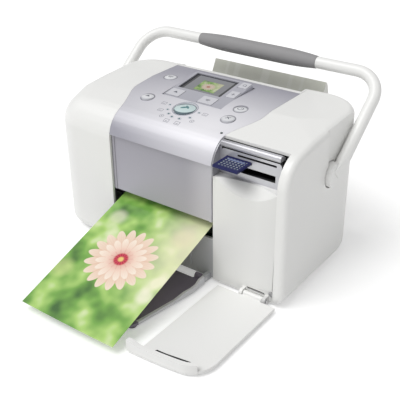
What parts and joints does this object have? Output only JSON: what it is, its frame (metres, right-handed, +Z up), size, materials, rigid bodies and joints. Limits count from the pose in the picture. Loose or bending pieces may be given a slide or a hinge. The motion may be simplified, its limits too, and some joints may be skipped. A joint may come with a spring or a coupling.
{
  "type": "compact photo printer",
  "caption": "Compact photo printer with a swing handle, tilting display, memory card bay, hinged output tray, card door and rear paper support around a roller and carriage mechanism.",
  "frame": {"origin": "on the table plane, in the middle of the case's width; the raised pad in the middle of the case's underside is 1.2 mm above it", "axes": "+X to the right seen from the front, +Y to the rear, +Z up"},
  "size_m": [0.275, 0.3073, 0.1694],
  "materials": {
    "shell_white": "satin white moulding",
    "silver_cover": "silver painted moulding",
    "light_grey_plastic": "fine texture",
    "dark_plastic": "fine texture",
    "rubber": "matt",
    "print_key_teal": "glossy",
    "grip_grey": "soft matt sleeve",
    "smoke_support": "smoky moulding",
    "display_glass": "glossy window",
    "steel": "turned",
    "sheet_metal": "zinc coated sheet",
    "gear_nylon": "moulded",
    "brass": "cut",
    "board_green": "lacquered laminate",
    "clear_film": "printed film",
    "photo_paper": "glossy photo paper",
    "card_blue": "moulded"
  },
  "bodies": {
    "case": {"bottom_case": "light_grey_plastic", "rubber_feet": "rubber", "left_side_shell": "shell_white", "right_side_shell": "shell_white", "top_cover": "silver_cover", "front_panel": "silver_cover", "lower_front_wall": "light_grey_plastic", "right_front_panel": "shell_white", "card_bay_bezel": "silver_cover", "rear_housing": "shell_white", "hopper_guide": "dark_plastic", "ink_cartridge": "dark_plastic", "hinge_pins": "steel", "door_screw": "steel", "handle_pivots": "steel", "status_lens": "display_glass", "control_board": "board_green", "card_reader": "dark_plastic", "photo_sheet": "photo_paper", "chassis_frame": "sheet_metal", "guide_shaft": "steel", "encoder_strip": "clear_film", "timing_belt": "rubber", "carriage_motor": "steel", "feed_motor": "steel", "platen": "dark_plastic", "capping_station": "light_grey_plastic", "main_board": "board_green", "dc_inlet": "dark_plastic", "usb_port": "steel", "case_screws": "steel"},
    "support": {"paper_support": "smoke_support"},
    "paper_edge": {"edge_guide": "light_grey_plastic"},
    "rear_door": {"cartridge_door": "shell_white"},
    "tray": {"output_tray": "dark_plastic", "tray_feet": "rubber"},
    "door": {"card_door": "shell_white"},
    "handle": {"handle_bar": "shell_white", "handle_grip": "grip_grey"},
    "display": {"lcd_frame": "silver_cover", "lcd_screen": "display_glass"},
    "menu_left": {"menu_key_left": "light_grey_plastic"},
    "menu_right": {"menu_key_right": "light_grey_plastic"},
    "zoom_front": {"zoom_key_front": "light_grey_plastic"},
    "zoom_rear": {"zoom_key_rear": "light_grey_plastic"},
    "print_key": {"print_button": "print_key_teal"},
    "key_rear_left": {"button_rear_left": "light_grey_plastic"},
    "key_front_left": {"button_front_left": "light_grey_plastic"},
    "key_power": {"power_button": "light_grey_plastic"},
    "key_front_right": {"button_front_right": "light_grey_plastic"},
    "card": {"memory_card": "card_blue"},
    "ink_carriage": {"carriage": "dark_plastic"},
    "pulley_drive": {"drive_pulley": "steel"},
    "pulley_idler": {"idler_pulley": "steel"},
    "pinion": {"motor_pinion": "brass"},
    "feed": {"feed_roller": "rubber"},
    "idler": {"idler_gear": "gear_nylon"},
    "exit": {"exit_roller": "rubber"},
    "stars": {"star_wheels": "steel"},
    "pickup": {"pickup_roller": "rubber"}
  },
  "joints": [
    {"name": "paper_support_hinge", "type": "hinge", "parent": "case", "child": "support", "pos_m": [0, 0.0615, 0.064], "axis": [1, 0, 0], "range_deg": [0, 25]},
    {"name": "edge_guide_slide", "type": "slide", "parent": "support", "child": "paper_edge", "axis": [1, 0, 0], "range_m": [0, 0.011]},
    {"name": "cartridge_door_hinge", "type": "hinge", "parent": "case", "child": "rear_door", "pos_m": [0, 0.058, 0.01], "axis": [-1, 0, 0], "range_deg": [0, 90]},
    {"name": "output_tray_hinge", "type": "hinge", "parent": "case", "child": "tray", "pos_m": [0, -0.0845, 0.0045], "axis": [-1, 0, 0], "range_deg": [0, 88], "deforming": ["photo_sheet"]},
    {"name": "card_door_hinge", "type": "hinge", "parent": "case", "child": "door", "pos_m": [0, -0.0825, 0.0045], "axis": [-1, 0, 0], "range_deg": [0, 90]},
    {"name": "handle_swing", "type": "hinge", "parent": "case", "child": "handle", "pos_m": [0, -0.0078, 0.0979], "axis": [1, 0, 0], "range_deg": [0, 55]},
    {"name": "display_tilt", "type": "hinge", "parent": "case", "child": "display", "pos_m": [0, -0.0267, 0.13802], "axis": [1, 0, 0], "range_deg": [-4.5, 30]},
    {"name": "menu_left_press", "type": "slide", "parent": "display", "child": "menu_left", "axis": [0, 0.1357, -0.9907], "range_m": [0, 0.0008], "stiffness_N_per_m": 300, "springref_m": -0.0006},
    {"name": "menu_right_press", "type": "slide", "parent": "display", "child": "menu_right", "axis": [0, 0.1357, -0.9907], "range_m": [0, 0.0008], "stiffness_N_per_m": 300, "springref_m": -0.0006},
    {"name": "zoom_front_press", "type": "slide", "parent": "display", "child": "zoom_front", "axis": [0, 0.1357, -0.9907], "range_m": [0, 0.0008], "stiffness_N_per_m": 300, "springref_m": -0.0006},
    {"name": "zoom_rear_press", "type": "slide", "parent": "display", "child": "zoom_rear", "axis": [0, 0.1357, -0.9907], "range_m": [0, 0.0008], "stiffness_N_per_m": 300, "springref_m": -0.0006},
    {"name": "print_key_press", "type": "slide", "parent": "case", "child": "print_key", "axis": [0, 0, -1], "range_m": [0, 0.001], "stiffness_N_per_m": 300, "springref_m": -0.0006},
    {"name": "key_rear_left_press", "type": "slide", "parent": "case", "child": "key_rear_left", "axis": [0, 0, -1], "range_m": [0, 0.001], "stiffness_N_per_m": 300, "springref_m": -0.0006},
    {"name": "key_front_left_press", "type": "slide", "parent": "case", "child": "key_front_left", "axis": [0, 0, -1], "range_m": [0, 0.001], "stiffness_N_per_m": 300, "springref_m": -0.0006},
    {"name": "key_power_press", "type": "slide", "parent": "case", "child": "key_power", "axis": [0, 0, -1], "range_m": [0, 0.001], "stiffness_N_per_m": 300, "springref_m": -0.0006},
    {"name": "key_front_right_press", "type": "slide", "parent": "case", "child": "key_front_right", "axis": [0, 0, -1], "range_m": [0, 0.001], "stiffness_N_per_m": 300, "springref_m": -0.0006},
    {"name": "memory_card_slide", "type": "slide", "parent": "case", "child": "card", "axis": [0, -1, 0], "range_m": [0, 0.025]},
    {"name": "carriage_slide", "type": "slide", "parent": "case", "child": "ink_carriage", "axis": [1, 0, 0], "range_m": [-0.128, 0]},
    {"name": "drive_pulley_spin", "type": "hinge", "parent": "case", "child": "pulley_drive", "pos_m": [0.096, -0.003, 0.092], "axis": [0, 0, 1], "range_deg": [-1160, 2]},
    {"name": "idler_pulley_spin", "type": "hinge", "parent": "case", "child": "pulley_idler", "pos_m": [-0.086, -0.003, 0.092], "axis": [0, 0, 1], "range_deg": [-1160, 2]},
    {"name": "feed_roller_spin", "type": "hinge", "parent": "case", "child": "feed", "pos_m": [0, 0.00362, 0.04954], "axis": [1, 0, 0], "continuous": true},
    {"name": "idler_gear_spin", "type": "hinge", "parent": "case", "child": "idler", "pos_m": [0, -0.03238, 0.04954], "axis": [1, 0, 0], "continuous": true},
    {"name": "exit_roller_spin", "type": "hinge", "parent": "case", "child": "exit", "pos_m": [0, -0.06438, 0.04954], "axis": [1, 0, 0], "continuous": true},
    {"name": "motor_pinion_spin", "type": "hinge", "parent": "case", "child": "pinion", "pos_m": [0, 0.00362, 0.02954], "axis": [1, 0, 0], "continuous": true},
    {"name": "star_wheels_spin", "type": "hinge", "parent": "case", "child": "stars", "pos_m": [0, -0.06739, 0.05845], "axis": [1, 0, 0], "continuous": true},
    {"name": "pickup_roller_spin", "type": "hinge", "parent": "case", "child": "pickup", "pos_m": [0, 0.041, 0.074], "axis": [1, 0, 0], "continuous": true}
  ],
  "couplings": [
    {"joint": "drive_pulley_spin", "follows": "carriage_slide", "rad_per_m": 156.25},
    {"joint": "idler_pulley_spin", "follows": "carriage_slide", "rad_per_m": 156.25},
    {"joint": "idler_gear_spin", "follows": "feed_roller_spin", "ratio": -0.63636},
    {"joint": "exit_roller_spin", "follows": "feed_roller_spin", "ratio": 1.4},
    {"joint": "motor_pinion_spin", "follows": "feed_roller_spin", "ratio": -2.3333},
    {"joint": "star_wheels_spin", "follows": "feed_roller_spin", "ratio": -1.75}
  ]
}
